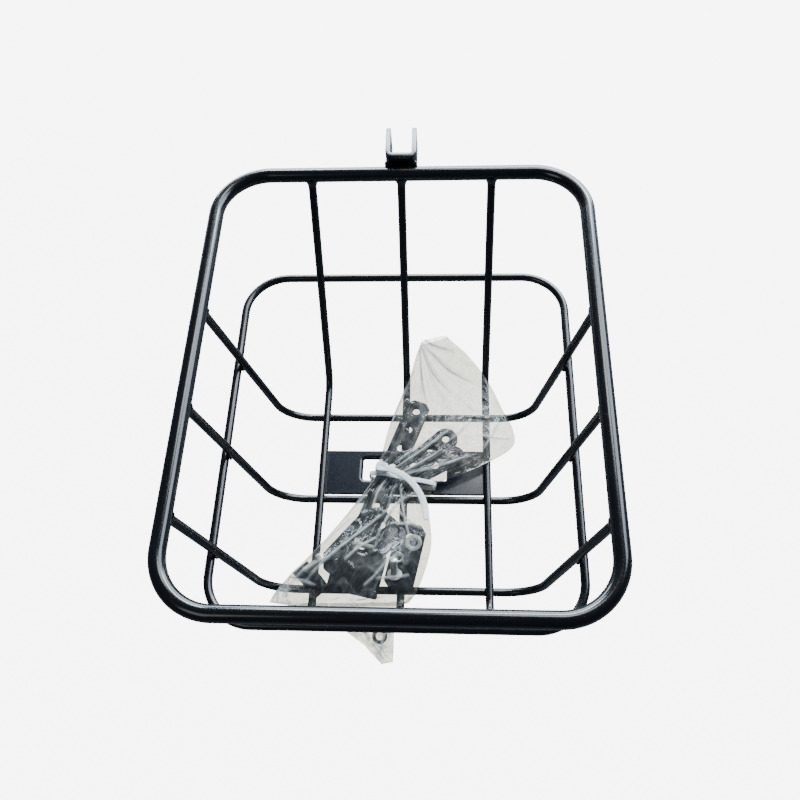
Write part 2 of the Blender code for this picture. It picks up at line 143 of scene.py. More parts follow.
def stoved_paint(name, base, dull, roughness):
    """Black stoved enamel sprayed on steel: a smooth satin gloss, fine orange peel, dust and faint rubs."""
    material, tree, place = start_material(name)
    peel = add(tree, "TexNoise", {"Vector": place, "Scale": 1 / (1.6 * MM), "Detail": 2.0})
    cloud = add(tree, "TexNoise", {"Vector": place, "Scale": 1 / (28 * MM), "Detail": 4.0})
    # Real dust is under 0.3 mm. It is drawn at 0.9 mm, because finer specks don't show.
    grit = add(tree, "TexNoise", {"Vector": place, "Scale": 1 / (0.9 * MM), "Detail": 1.0})
    specks = add(tree, "ValToRGB", {"Fac": grit}, [(0.70, 0), (0.76, 1)])
    rubbed = add(tree, "TexNoise", {"Vector": place, "Scale": 1 / (9 * MM), "Detail": 6.0, "Roughness": 0.7})
    rubs = add(tree, "ValToRGB", {"Fac": rubbed}, [(0.62, 0), (0.72, 1)])
    tone = add(tree, "ValToRGB", {"Fac": cloud}, [(0.35, base), (0.75, dull)])
    dusty = add(tree, "Math", {0: specks, 1: 0.10}, operation="MULTIPLY")
    dusted = add(tree, "Mix", {"Factor": dusty, "A": tone, "B": linear("8d8f90")}, data_type="RGBA")
    rough = add(tree, "MapRange", {"Value": rubs, "To Min": roughness, "To Max": roughness + 0.12})
    bump = add(tree, "Bump", {"Height": peel, "Strength": 0.05, "Distance": 0.3 * MM})
    shader = add(
        tree, "BsdfPrincipled",
        {
            "Base Color": dusted, "Roughness": rough, "IOR": 1.52, "Coat Weight": 0.5, "Coat Roughness": 0.12,
            "Normal": bump,
        },
    )
    return finished(material, shader)


def zinc_plate():
    """Bright zinc electroplate on steel: pale metal with a cloudy passivated skin and fine tool marks."""
    material, tree, place = start_material("zinc_plated_steel")
    cloud = add(tree, "TexNoise", {"Vector": place, "Scale": 1 / (3 * MM), "Detail": 4.0})
    tone = add(tree, "ValToRGB", {"Fac": cloud}, [(0.3, "c4c7c3"), (0.55, "dee0db"), (0.8, "e6e3d6")])
    # Real tool marks are about 0.1 mm apart. They are drawn at 0.5 mm, because finer ones don't show.
    marks = add(tree, "TexNoise", {"Vector": place, "Scale": 1 / (0.5 * MM), "Detail": 2.0})
    rough = add(tree, "MapRange", {"Value": marks, "To Min": 0.22, "To Max": 0.42})
    bump = add(tree, "Bump", {"Height": marks, "Strength": 0.12, "Distance": 0.1 * MM})
    shader = add(
        tree, "BsdfPrincipled", {"Base Color": tone, "Metallic": 0.55, "Roughness": rough, "Normal": bump}
    )
    return finished(material, shader)


def moulded_nylon():
    """Natural nylon 66, injection moulded: milky white, slightly see-through, satin from the mould."""
    material, tree, place = start_material("moulded_nylon")
    flow = add(tree, "TexNoise", {"Vector": place, "Scale": 1 / (5 * MM), "Detail": 3.0})
    tone = add(tree, "ValToRGB", {"Fac": flow}, [(0.3, "eaf0f0"), (0.7, "f8faf9")])
    # The mould's real grain is under 0.1 mm. It is drawn at 0.4 mm, because a finer one doesn't show.
    grain = add(tree, "TexNoise", {"Vector": place, "Scale": 1 / (0.4 * MM), "Detail": 2.0})
    bump = add(tree, "Bump", {"Height": grain, "Strength": 0.15, "Distance": 0.05 * MM})
    shader = add(
        tree, "BsdfPrincipled",
        {
            "Base Color": tone, "Roughness": 0.38, "IOR": 1.53, "Subsurface Weight": 0.35,
            "Subsurface Radius": (1.2 * MM, 1.3 * MM, 1.4 * MM), "Subsurface Scale": 1.0, "Normal": bump,
        },
    )
    return finished(material, shader)


def moulded_rubber():
    """Black moulded rubber: dull, dark and slightly bloomed."""
    material, tree, place = start_material("moulded_rubber")
    bloom = add(tree, "TexNoise", {"Vector": place, "Scale": 1 / (2 * MM), "Detail": 4.0})
    tone = add(tree, "ValToRGB", {"Fac": bloom}, [(0.35, "141414"), (0.75, "2b2a29")])
    bump = add(tree, "Bump", {"Height": bloom, "Strength": 0.2, "Distance": 0.1 * MM})
    shader = add(tree, "BsdfPrincipled", {"Base Color": tone, "Roughness": 0.62, "IOR": 1.52, "Normal": bump})
    return finished(material, shader)


def polythene_film():
    """Clear low-density polythene film: see-through, glossy, faintly milky, with whitening and a painted
    highlight along its creases.
    """
    material, tree, place = start_material("polythene_film")
    # Slack film buckles in lines some 26 mm apart: a fold runs where this noise crosses its middle value
    slack = add(tree, "TexNoise", {"Vector": place, "Scale": 1 / (26 * MM), "Detail": 1.5})
    level = add(tree, "Math", {0: slack, 1: 0.5}, operation="SUBTRACT")
    line = add(tree, "Math", {0: level}, operation="ABSOLUTE")
    crease = add(tree, "ValToRGB", {"Fac": line}, [(0.0, 1), (0.010, 0.5), (0.035, 0)])
    fine = add(
        tree, "TexNoise",
        {"Vector": place, "Scale": 1 / (12 * MM), "Detail": 2.5, "Roughness": 0.5, "Distortion": 0.8},
    )
    milk = add(tree, "ValToRGB", {"Fac": fine}, [(0.35, 0.02), (0.55, 0.05), (0.72, 0.16)])
    # Haze along the noise's crease lines is partly whitening and partly a painted highlight; the milk noise is
    # the film's own
    milk_and_crease_highlight = add(tree, "Math", {0: crease, 1: 0.10, 2: milk}, operation="MULTIPLY_ADD")
    # The mesh carries where the film is sharply folded, whitened there and given a painted highlight
    folded = add(tree, "Attribute", attribute_name="crease", attribute_type="GEOMETRY").outputs["Fac"]
    haze_and_crease_highlight = add(tree, "Math", {0: folded, 1: 0.92, 2: milk_and_crease_highlight}, operation="MULTIPLY_ADD", use_clamp=True)
    relief = add(tree, "Math", {0: crease, 1: 0.3, 2: fine}, operation="MULTIPLY_ADD")
    bump = add(tree, "Bump", {"Height": relief, "Strength": 0.22, "Distance": 1.0 * MM})
    clear = add(tree, "BsdfTransparent", {"Color": linear("c8c7c1")})
    front = add(tree, "BsdfDiffuse", {"Color": linear("e6e8e4"), "Normal": bump})
    through = add(tree, "BsdfTranslucent", {"Color": linear("e6e8e4"), "Normal": bump})
    milky = add(tree, "MixShader", {0: 0.4, 1: front, 2: through})
    body = add(tree, "MixShader", {0: haze_and_crease_highlight, 1: clear, 2: milky})
    gloss = add(tree, "BsdfAnisotropic", {"Color": linear("ffffff"), "Roughness": 0.16, "Normal": bump})
    mirror = add(tree, "Fresnel", {"IOR": 1.55, "Normal": bump})
    sheen = add(tree, "Math", {0: mirror, 1: 0.65}, operation="MULTIPLY")
    both = add(tree, "MixShader", {0: sheen, 1: body, 2: gloss})
    # So thin a film casts almost no shadow on what lies in it
    lamp_ray = add(tree, "LightPath").outputs["Is Shadow Ray"]
    unshaded = add(tree, "BsdfTransparent", {"Color": linear("ffffff")})
    lit = add(tree, "MixShader", {0: lamp_ray, 1: both, 2: unshaded})
    return finished(material, lit)


# Shapes


def piece(name, bm, material, body, replaced=()):
    """One finished piece: smooth shaded, painted, riding on its body."""
    bmesh.ops.recalc_face_normals(bm, faces=bm.faces)
    mesh = bpy.data.meshes.new(name)
    bm.to_mesh(mesh)
    bm.free()
    mesh.materials.append(material)
    mesh.shade_smooth()
    mesh.set_sharp_from_angle(angle=math.radians(50))
    obj = bpy.data.objects.new(name, mesh)
    bpy.context.collection.objects.link(obj)
    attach(obj, body)
    if replaced:
        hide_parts(*replaced)
    return obj


def fillet(points, radii, closed=False, step=math.radians(4)):
    """A route whose corners are rounded to the given radii."""
    count = len(points)
    path = []
    for index, corner in enumerate(points):
        corner = Vector(corner)
        radius = radii[index]
        if radius == 0 or (not closed and index in (0, count - 1)):
            path.append(corner)
            continue
        into = (Vector(points[index - 1]) - corner).normalized()
        out = (Vector(points[(index + 1) % count]) - corner).normalized()
        half = into.angle(out) / 2
        centre = corner + (into + out).normalized() * radius / math.sin(half)
        start = corner + into * radius / math.tan(half) - centre
        end = corner + out * radius / math.tan(half) - centre
        axis = start.cross(end).normalized()
        turn = math.pi - 2 * half
        steps = max(2, math.ceil(turn / step))
        for index_step in range(steps + 1):
            path.append(centre + Matrix.Rotation(turn * index_step / steps, 3, axis) @ start)
    return path


def skin(bm, rings, closed=False, capped=False):
    """Faces between neighbouring rings, and over both ends if they are capped."""
    count = len(rings)
    for index in range(count if closed else count - 1):
        first, second = rings[index], rings[(index + 1) % count]
        for side in range(len(first)):
            after = (side + 1) % len(first)
            bm.faces.new((first[side], first[after], second[after], second[side]))
    if capped:
        bm.faces.new(rings[0])
        bm.faces.new(rings[-1])


def circle(x, y, radius, sides=28):
    """Points round a circle."""
    turns = [2 * math.pi * index / sides for index in range(sides)]
    return [(x + radius * math.cos(turn), y + radius * math.sin(turn)) for turn in turns]


def headings(route, closed):
    """The direction of a route at each of its points."""
    last = len(route) - 1
    found = []
    for index in range(last + 1):
        before = index - 1 if closed else max(index - 1, 0)
        after = (index + 1) % (last + 1) if closed else min(index + 1, last)
        found.append((route[after] - route[before]).normalized())
    return found


def round_bar(bm, route, normal, radius, sides, closed):
    """A round bar along a flat route."""
    normal = Vector(normal)
    rings = []
    for point, way in zip(route, headings(route, closed)):
        level = way.cross(normal).normalized()
        spots = [point + radius * (c * level + s * normal) for c, s in circle(0, 0, 1, sides)]
        rings.append([bm.verts.new(spot) for spot in spots])
    skin(bm, rings, closed, not closed)


def rounded(half_x, half_y, corner, centre, step=math.radians(11)):
    """Closed route round a rectangle, with the same number of points whatever its size."""
    points = [(-half_x, -half_y, 0), (half_x, -half_y, 0), (half_x, half_y, 0), (-half_x, half_y, 0)]
    return [point + Vector(centre) for point in fillet(points, [max(corner, 0.05 * MM)] * 4, True, step)]


def wire_route(first_top, first_foot, second_foot, second_top, bend):
    """Route of a wire that starts and ends in the welds under the rim."""
    points = [Vector(point) for point in (first_top, first_foot, second_foot, second_top)]
    reach = RIM_TUBE - 0.6 * MM
    points[0] += (points[1] - points[0]).normalized() * reach
    points[3] += (points[2] - points[3]).normalized() * reach
    return fillet(points, [0, bend, bend, 0])


def long_wire_points(x):
    """Top, foot, foot and top of a long wire, on its centre line."""
    tops = (x, RIM.y - RIM_HALF.y, RIM.z), (x, RIM.y + RIM_HALF.y, RIM.z)
    return tops[0], (x, RIM.y + LONG_BEND_FRONT, LONG_Z), (x, RIM.y + LONG_BEND_BACK, LONG_Z), tops[1]


def cross_wire_points(y):
    """Top, foot, foot and top of a cross wire, on its centre line."""
    tops = (-RIM_HALF.x, y, RIM.z), (RIM_HALF.x, y, RIM.z)
    return tops[0], (-CROSS_BEND_X, y, CROSS_Z), (CROSS_BEND_X, y, CROSS_Z), tops[1]


def make_rods(rim_paint, rod_paint):
    """Rim tube, side ring and the six wires as smooth round bars."""
    fine = math.radians(4)
    rim = rounded(RIM_HALF.x, RIM_HALF.y, RIM_CORNER, RIM, fine)
    ring = rounded(RING_HALF.x, RING_HALF.y, RING_CORNER, RING, fine)
    bars = [
        ("rim_tube", rim, UP, RIM_TUBE, 40, True, rim_paint, "rim_paint"),
        ("side_ring", ring, UP, ROD, 32, True, rod_paint, "rod_paint"),
    ]
    for name, x in LONG_X.items():
        route = wire_route(*long_wire_points(x), LONG_BEND)
        bars.append((name, route, (1, 0, 0), ROD, 32, False, rod_paint, "rod_paint"))
    for name, y in CROSS_Y.items():
        route = wire_route(*cross_wire_points(y), CROSS_BEND)
        bars.append((name, route, (0, 1, 0), ROD, 32, False, rod_paint, "rod_paint"))
    for name, route, normal, radius, sides, closed, paint, slot in bars:
        bm = bmesh.new()
        round_bar(bm, route, normal, radius, sides, closed)
        piece(name + "_painted", bm, paint, "basket", [name])


def weld_blob(bm, centre, along, size, seed):
    """A small bead of weld: an egg whose surface is rippled across its run."""
    grown = bmesh.ops.create_icosphere(bm, subdivisions=3, radius=1.0)
    turn = UP.rotation_difference(along).to_matrix()
    for vert in grown["verts"]:
        rough = noise.noise(vert.co * 1.7 + Vector((seed, 0, 0)))
        ripple = 1 + 0.07 * math.sin(vert.co.z * 9 + seed) + 0.16 * rough
        shaped = Vector((vert.co.x * size[0], vert.co.y * size[1], vert.co.z * size[2])) * ripple
        vert.co = centre + turn @ shaped


def weld_collar(bm, top, foot, seed):
    """Fillet of weld where a wire meets the underside of the rim."""
    top, foot = Vector(top), Vector(foot)
    turn = UP.rotation_difference((foot - top).normalized()).to_matrix()
    rings = []
    for reach, radius in ((4.0, 5.6), (5.6, 5.3), (6.6, 4.7), (7.8, 4.1), (9.4, 3.7), (11.0, 3.45)):
        ring = []
        for across, along in circle(0, 0, 1, 20):
            lump = 1 + 0.09 * noise.noise(Vector((across * 1.3, along * 1.3, seed + reach * 0.2)))
            spot = Vector((across * radius * lump, along * radius * lump, reach)) * MM
            ring.append(bm.verts.new(top + turn @ spot))
        rings.append(ring)
    skin(bm, rings, capped=True)


def on_line(foot, top, z):
    """The point of a wire's straight run at a height."""
    foot, top = Vector(foot), Vector(top)
    return foot + (top - foot) * (z - foot.z) / (top.z - foot.z)


def make_welds(paint):
    """Every weld of the basket, as beads under the same paint."""
    rim_welds, ring_welds, floor_welds = bmesh.new(), bmesh.new(), bmesh.new()
    routes = [long_wire_points(x) for x in LONG_X.values()] + [cross_wire_points(y) for y in CROSS_Y.values()]
    for index, points in enumerate(routes):
        is_cross = index >= len(LONG_X)
        ends = ((points[0], points[1]), (points[3], points[2]))
        for side, (top, foot) in enumerate(ends):
            weld_collar(rim_welds, top, foot, index * 2.0 + side)
            spot = on_line(foot, top, RING.z)
            outward = Vector((spot.x, 0, 0)) if is_cross else Vector((0, spot.y - RIM.y, 0))
            outward = outward.normalized()
            ring_run = UP.cross(outward)
            for above in (-1, 1):
                bead = spot + outward * ROD * 0.95 + Vector((0, 0, above * ROD * 0.62))
                size = Vector((1.7, 1.7, 3.4)) * MM
                weld_blob(ring_welds, bead, ring_run, size, index * 3.1 + side + above)
    for x, y, side in product(LONG_X.values(), CROSS_Y.values(), (-1, 1)):
        spot = Vector((x + side * ROD * 0.7, y, (LONG_Z + CROSS_Z) / 2))
        size = Vector((1.6, 1.4, 3.0)) * MM
        weld_blob(floor_welds, spot, Vector((0, 1, 0)), size, x * 90 + y * 70 + side)
    for name, bm in (("rim_welds", rim_welds), ("ring_welds", ring_welds), ("floor_welds", floor_welds)):
        piece(name, bm, paint, "basket")


# Pressed plate and bent bracket



def make_base_plate(paint):
    """Pressed plate: rolled outer edge and a window whose rim is turned down."""
    low, high = box("base_plate")
    half = (high - low) / 2
    window_half = Vector((39, 10.5)) * MM
    border = 8 * MM
    window_y = high.y - border - window_half.y
    bm = bmesh.new()
    outer = []
    for inset, drop in (
        (2.2, 0), (1.4, 0), (0.9, 0.0), (0.45, 0.1), (0.12, 0.35), (0, 0.7),
        (0, 1.3), (0.12, 1.65), (0.45, 1.9), (0.9, 2.0), (1.4, 2.0), (2.2, 2.0),
    ):
        centre = (0, (high.y + low.y) / 2, high.z - drop * MM)
        route = rounded(half.x - inset * MM, half.y - inset * MM, (2.6 - inset) * MM, centre)
        outer.append([bm.verts.new(point) for point in route])
    skin(bm, outer)
    lip = []
    for reach, drop in (
        (4.2, 0), (3.6, 0), (3.1, 0), (2.5, 0.12), (1.8, 0.42), (1.1, 0.95), (0.6, 1.6), (0.3, 2.3),
        (0.15, 2.9), (0.3, 3.2), (0.7, 3.25), (1.2, 3.1), (1.7, 2.7), (2.3, 2.35), (3.0, 2.1), (3.6, 2.0),
        (4.2, 2.0),
    ):
        grown = (reach - 0.15) * MM
        centre = (0, window_y, high.z - drop * MM)
        route = rounded(window_half.x + grown, window_half.y + grown, (2.0 + reach) * MM, centre)
        lip.append([bm.verts.new(point) for point in route])
    skin(bm, lip)
    skin(bm, [outer[0], lip[0]])
    skin(bm, [outer[-1], lip[-1]])
    piece("base_plate_pressed", bm, paint, "basket", ["base_plate"])


def eased(bm, width, turn=35):
    """Break the sharp edges of a blank, as tumbling before paint does."""
    limit = math.radians(turn)
    sharp = [edge for edge in bm.edges if len(edge.link_faces) == 2 and edge.calc_face_angle(0) > limit]
    bmesh.ops.bevel(
        bm, geom=sharp, offset=width, offset_type="OFFSET", segments=2, profile=0.6, affect="EDGES"
    )
    return bm


def flat_blank(outline, holes, thickness):
    """A flat blank with holes, lying on Z = 0."""
    bm = bmesh.new()
    edges = []
    for loop in [outline, *holes]:
        verts = [bm.verts.new((x, y, 0)) for x, y in loop]
        for index, vert in enumerate(verts):
            edges.append(bm.edges.new((vert, verts[(index + 1) % len(verts)])))
    bmesh.ops.triangle_fill(bm, use_beauty=True, use_dissolve=False, edges=edges)
    grown = bmesh.ops.extrude_face_region(bm, geom=bm.faces[:])
    top = [item for item in grown["geom"] if isinstance(item, bmesh.types.BMVert)]
    bmesh.ops.translate(bm, verts=top, vec=(0, 0, thickness))
    bmesh.ops.recalc_face_normals(bm, faces=bm.faces)
    return bm


def loose_object(name, bm):
    """A mesh of its own for a moment's work, made from bm."""
    mesh = bpy.data.meshes.new(name)
    bm.to_mesh(mesh)
    bm.free()
    obj = bpy.data.objects.new(name, mesh)
    bpy.context.collection.objects.link(obj)
    return obj


def bored(bm, centre, axis, radius, length):
    """The blank with a round hole through it."""
    blank = loose_object("blank", bm)
    drill_bm = bmesh.new()
    turn = Matrix.Translation(centre) @ UP.rotation_difference(Vector(axis)).to_matrix().to_4x4()
    bmesh.ops.create_cone(
        drill_bm, cap_ends=True, segments=28, radius1=radius, radius2=radius, depth=length, matrix=turn
    )
    drill = loose_object("drill", drill_bm)
    cut = blank.modifiers.new("hole", "BOOLEAN")
    cut.operation = "DIFFERENCE"
    cut.object = drill
    cut.solver = "EXACT"
    result = bmesh.new()
    result.from_mesh(blank.evaluated_get(bpy.context.evaluated_depsgraph_get()).to_mesh())
    for obj in (blank, drill):
        data = obj.data
        bpy.data.objects.remove(obj, do_unlink=True)
        bpy.data.meshes.remove(data)
    return result


def folded_strip(half, tip, thickness, bend, depth):
    """A U folded from strip: web along X at Y = 0, prongs to Y = tip, standing on Z = 0."""
    inner, inner_bend, step = half - thickness, bend - thickness, math.radians(9)
    points = [(-half, tip, 0), (-half, 0, 0), (half, 0, 0), (half, tip, 0)]
    outside = fillet(points, [0, bend, bend, 0], False, step)
    points = [(inner, tip, 0), (inner, thickness, 0), (-inner, thickness, 0), (-inner, tip, 0)]
    inside = fillet(points, [0, inner_bend, inner_bend, 0], False, step)
    return flat_blank([(point.x, point.y) for point in [*outside, *inside]], [], depth)


def make_bracket(paint):
    """Stem bracket folded from thick strip, drilled across its prongs, with its welds to the rim."""
    low, high = box("stem_bracket")
    strip, bend, bolt_hole, from_tip = 4 * MM, 6 * MM, 3.25 * MM, 9 * MM
    bm = folded_strip((high.x - low.x) / 2, high.y - low.y, strip, bend, high.z - low.z)
    bmesh.ops.translate(bm, verts=bm.verts, vec=(0, low.y, low.z))
    hole = Vector((0, high.y - from_tip, (high.z + low.z) / 2))
    bm = bored(bm, hole, (1, 0, 0), bolt_hole, 60 * MM)
    piece("stem_bracket_folded", eased(bm, 0.55 * MM), paint, "basket", ["stem_bracket"])
    bm = bmesh.new()
    for side in (-1, 1):
        for step in range(5):
            spot = Vector((side * (high.x - 1.2 * MM), low.y + 0.1 * MM, RIM.z + (step * 2.4 - 2.5) * MM))
            spot.y -= 0.9 * MM * abs(step - 2) * 0.6
            weld_blob(bm, spot, UP, (1.9 * MM, 1.6 * MM, 1.9 * MM), 40 + step * 3 + side)
    for step in range(8):
        spot = Vector(((step - 3.5) * 3.0 * MM, low.y - 1.3 * MM, RIM.z - 4.6 * MM))
        weld_blob(bm, spot, Vector((1, 0, 0)), (1.7 * MM, 1.7 * MM, 2.2 * MM), 60 + step)
    piece("bracket_welds", bm, paint, "basket")


# Fittings in the bag. Sizes and places are in millimetres: on plan from the middle of the rim, and the
# height above FLOOR, which lies just above the wires that the bag rests on.
FLOOR = LONG_Z + ROD + 0.4 * MM
STRIP = 2.5
LAYER = STRIP + 0.4
DECK = 3.5
HEAP = 0.8 + STRIP + 1.4
PITCH = 20
M6 = 3.0


def kit_point(x, y, z):
    return Vector((x * MM, y * MM + RIM.y, FLOOR + z * MM))


def lay(bm, x, y, z, turn, tilt=0.0):
    """Place a part whose length runs along its own Y, turned about Z in degrees."""
    place = Matrix.Translation(kit_point(x, y, z)) @ Matrix.Rotation(math.radians(turn), 4, "Z")
    bmesh.ops.transform(bm, matrix=place @ Matrix.Rotation(math.radians(tilt), 4, "X"), verts=bm.verts)
    return bm


def fitting(name, made, bm, place, material):
    piece(name + made, lay(bm, *place), material, "fitting_kit", [name])


def on_edge(bm, forward=0):
    """Turn a part a quarter about X, so that its height runs along -Y, and move it forward."""
    turn = Matrix.Translation((0, forward * MM, 0)) @ Matrix.Rotation(math.pi / 2, 4, "X")
    bmesh.ops.transform(bm, matrix=turn, verts=bm.verts)
    return bm


def strap(name, width, holes, margin, place, paint, round_ends):
    """A perforated strap, its first hole at its own origin and the rest along -Y, edges tumbled."""
    half, far, near = width / 2, margin, -holes[-1] - margin
    if round_ends:
        points = rounded(half * MM, (far - near) / 2 * MM, half * 0.985 * MM, (0, (near + far) / 2 * MM, 0))
    else:
        cut = half * 0.45
        corners = [
            (-half, near + cut), (-half + cut, near), (half - cut, near), (half, near + cut),
            (half, far - cut), (half - cut, far), (-half + cut, far), (-half, far - cut),
        ]
        points = fillet([(x * MM, y * MM, 0) for x, y in corners], [1.5 * MM] * 8, True, math.radians(12))
    punched = [circle(0, -hole * MM, M6 * 1.15 * MM) for hole in holes]
    bm = flat_blank([(point.x, point.y) for point in points], punched, STRIP * MM)
    fitting(name, "_punched", eased(bm, 0.38 * MM), place, paint)


def lathe(profile, sides):
    """A part turned from (radius, height) pairs round +Z, and its rings."""
    bm = bmesh.new()
    rings = []
    for radius, height in profile:
        rings.append([bm.verts.new((x, y, height * MM)) for x, y in circle(0, 0, radius * MM, sides)])
    return bm, rings


def threaded(start, end, radius, pitch):
    """Profile of a rolled thread: crests and roots, chamfered at its tip."""
    steps = int((end - start) / pitch * 2)
    profile = []
    for step in range(steps + 1):
        profile.append((radius if step % 2 else radius - pitch * 0.42, start + (end - start) * step / steps))
    profile[-1] = (radius * 0.74, end)
    return profile


def screw(head, thread, sides=24):
    """A turned screw: a head profile, then a threaded shank, capped at both ends."""
    bm, rings = lathe([*head, *thread], sides)
    skin(bm, rings, capped=True)
    return bm


def hex_head(bm, across_corners, height, centre_z, capped):
    """A hexagon head with its corners turned off at both faces."""
    rings = []
    for level, share in ((0.0, 0.90), (0.12, 1.0), (0.88, 1.0), (1.0, 0.90)):
        ring = []
        for side in range(36):
            turn = 2 * math.pi * side / 36
            flat = math.cos(math.pi / 6) / math.cos((turn % (math.pi / 3)) - math.pi / 6)
            radius = across_corners * min(flat, share)
            spot = (radius * math.cos(turn), radius * math.sin(turn), centre_z + (level - 0.5) * height)
            ring.append(bm.verts.new(Vector(spot) * MM))
        rings.append(ring)
    skin(bm, rings, capped=capped)
    return rings


def hex_bolt(name, place, metal):
    """An M5 hexagon bolt lying on its side, its shank along -Y."""
    bm = screw([(0.4, 3.2), (2.6, 3.2)], threaded(3.6, 18, 2.5, 0.8))
    hex_head(bm, 5.0, 3.6, 1.8, True)
    fitting(name, "_threaded", on_edge(bm), place, metal)


def turned_ring(name, outer, inner, thick, place, material):
    """A stamped washer with one rounded and one sharper side."""
    edge = thick * 0.3
    bm, rings = lathe(
        [
            (inner, edge * 0.5), (inner + edge * 0.5, 0), (outer - edge * 0.6, 0), (outer, edge * 0.6),
            (outer, thick - edge), (outer - edge * 0.35, thick - edge * 0.3), (outer - edge, thick),
            (inner + edge, thick), (inner + edge * 0.3, thick - edge * 0.3), (inner, thick - edge),
        ],
        48,
    )
    skin(bm, rings, closed=True)
    fitting(name, "_stamped", bm, place, material)


def make_fittings(paint, metal, rubber):
    """The straps, clamp and screws, each where its CAD node lies."""
    strap("stay_strap_short", 22, range(0, 4 * PITCH, PITCH), 11, (38, 19, DECK, -47), paint, True)
    strap("stay_strap_long", 22, range(0, 7 * PITCH, PITCH), 11, (10.2, 46, DECK + LAYER, -19.9), paint, False)
    strap("lamp_strap", 18, range(0, 3 * PITCH, PITCH), 9, (46, 0, DECK + 2 * LAYER, -60), paint, True)
    strap("clamp_plate", 43, (0, 25, 50), 12, (-18.6, -64.6, 1.8, -40), paint, False)
    strap("carrier_plate", 26, (0, 36), 12, (7.2, -76, HEAP, -12), paint, False)

    bm = on_edge(folded_strip(21 * MM, 17 * MM, 3 * MM, 3.6 * MM, 36 * MM), 18)
    place = (-36.5, -110, HEAP + 1, -12)
    fitting("fork_channel", "_folded", eased(bm, 0.4 * MM), place, paint)

    bore, thick, lug = 9 * MM, 3 * MM, 3 * MM
    outline = [(bore + thick + lug, 0), (bore + thick + lug, thick)]
    arc = [math.pi * step / 28 for step in range(29)]
    for turn in arc[1:-1]:
        outline.append(((bore + thick) * math.cos(turn), max(thick, (bore + thick) * math.sin(turn))))
    outline += [(-bore - thick - lug, thick), (-bore - thick - lug, 0)]
    outline += [(bore * math.cos(turn), bore * math.sin(turn)) for turn in reversed(arc)]
    bm = on_edge(flat_blank(outline, [], 16 * MM), 8)
    place = (-77, -115.5, HEAP, -46)
    fitting("saddle_clamp", "_pressed", eased(bm, 0.35 * MM), place, paint)

    head = [(0.5, 0), (5.9, 0), (6.5, 0.3), (6.6, 0.8), (6.4, 1.4), (4.2, 2.1), (M6, 2.3)]
    bm = screw(head, threaded(2.6, 21, M6, 1.0), 36)
    fitting("flange_bolt", "_threaded", bm, (-5, -111, HEAP + 5.5, 0, -22), metal)
    hex_bolt("clamp_bolt_left", (-67, -100.5, HEAP + 17.6, -50), metal)
    hex_bolt("clamp_bolt_right", (-41, -83.8, HEAP + 7, 75), metal)
    turned_ring("loose_washer", 7.5, 3.6, 1.5, (10.5, -82, HEAP + LAYER, 0), metal)
    turned_ring("rubber_washer", 6.5, 3.2, 1.6, (-17, -158.5, -9.2, 0, 15), rubber)
    bm, bore_rings = lathe([(2.9, 0.4), (2.9, 4.6)], 36)
    rings = hex_head(bm, 5, 5, 2.5, False)
    skin(bm, [rings[0], *bore_rings, rings[-1]])
    fitting("flange_nut", "_hexagon", bm, (-2, -96, HEAP + LAYER, 10), metal)


# Film bag and its tie
# Where the bag's left and right edges run on plan, from its mouth to its tail, and the film's lowest and
# highest point above FLOOR: the same stations as the bag's CAD solid, in millimetres
BAG_STATIONS = (
    (14, 100, 39, 108, 40, 49), (9, 94, 58, 97, 27, 37), (3, 82, 77, 80, 9, 17), (-6, 63, 92, 52, 0, 15),
    (-16, 32, 101, 31, 0, 19), (-21, 8, 99, 12, 0, 20), (-25, -6, 68, -8, 1.5, 20),
    (-28.5, -16.6, 28.5, -25.6, 2.5, 19), (-29.5, -23.4, 27.5, -32.4, 2.5, 19), (-38, -36, 21, -44, 1, 21),
    (-52, -56, 25, -62, 0, 26), (-68, -77, 26, -82, 0, 32), (-84, -96, 22, -101, 0, 34),
    (-103, -118, 16, -119, 0, 34), (-109, -127, 12, -127, 0.4, 33), (-112, -135, 8, -133, 2.8, 29),
    (-86, -139, -1, -137, 5.6, 21), (-71.2, -141, -4.8, -141, 4.6, 14), (-69, -144.5, -4.8, -144.5, -1, 8),
    (-48, -154, -4.8, -154, -11, -3), (-30, -166, -4.8, -166, -13.8, -7.5), (-15, -181, -5.2, -179, -13.8, -9),
)
NECK = 7  # the tie lies between this station and the next
TAIL = 13  # from this station on, the CAD solid's sides run straight from one station to the next
FILM_STEP = 1.25
ACROSS = 112
FILM_GAP = 1.0  # between the film and what lies under it
DRAW = 1.85  # over-relaxation
CONTENTS = (
    "stay_strap_short", "stay_strap_long", "lamp_strap", "clamp_plate", "carrier_plate", "fork_channel",
    "saddle_clamp", "flange_bolt", "clamp_bolt_left", "clamp_bolt_right", "loose_washer", "flange_nut",
    "rubber_washer",
)


def between(p, t):
    """The Catmull-Rom point at a share t of the way between the middle two of four."""
    return 0.5 * (
        2 * p[1] + (p[2] - p[0]) * t + (2 * p[0] - 5 * p[1] + 4 * p[2] - p[3]) * t ** 2
        + (3 * p[1] - p[0] - 3 * p[2] + p[3]) * t ** 3
    )


def film_rows():
    """Stations of the bag at an even step, and each one's distance from the tie along the bag."""
    rows, run, travelled, tie_at = [], [], 0.0, 0.0
    last = len(BAG_STATIONS) - 1
    for index in range(last):
        near = [np.array(BAG_STATIONS[min(max(index + shift, 0), last)]) for shift in (-1, 0, 1, 2)]
        middles = [(station[:2] + station[2:4]) / 2 for station in near]
        length = float(np.linalg.norm(middles[2] - middles[1]))
        steps = max(2, round(length / FILM_STEP))
        for step in range(steps):
            straight = near[1] + (near[2] - near[1]) * (step / steps)
            row = straight if index > TAIL else between(near, step / steps)
            row[4] = max(row[4], straight[4] - 0.2)
            row[5] = min(row[5], straight[5] + 0.8)
            rows.append(row)
            run.append(travelled + length * step / steps)
        if index == NECK:
            tie_at = travelled + length / 2
        travelled += length
    rows.append(np.array(BAG_STATIONS[-1], float))
    run.append(travelled)
    return np.array(rows), np.array(run) - tie_at


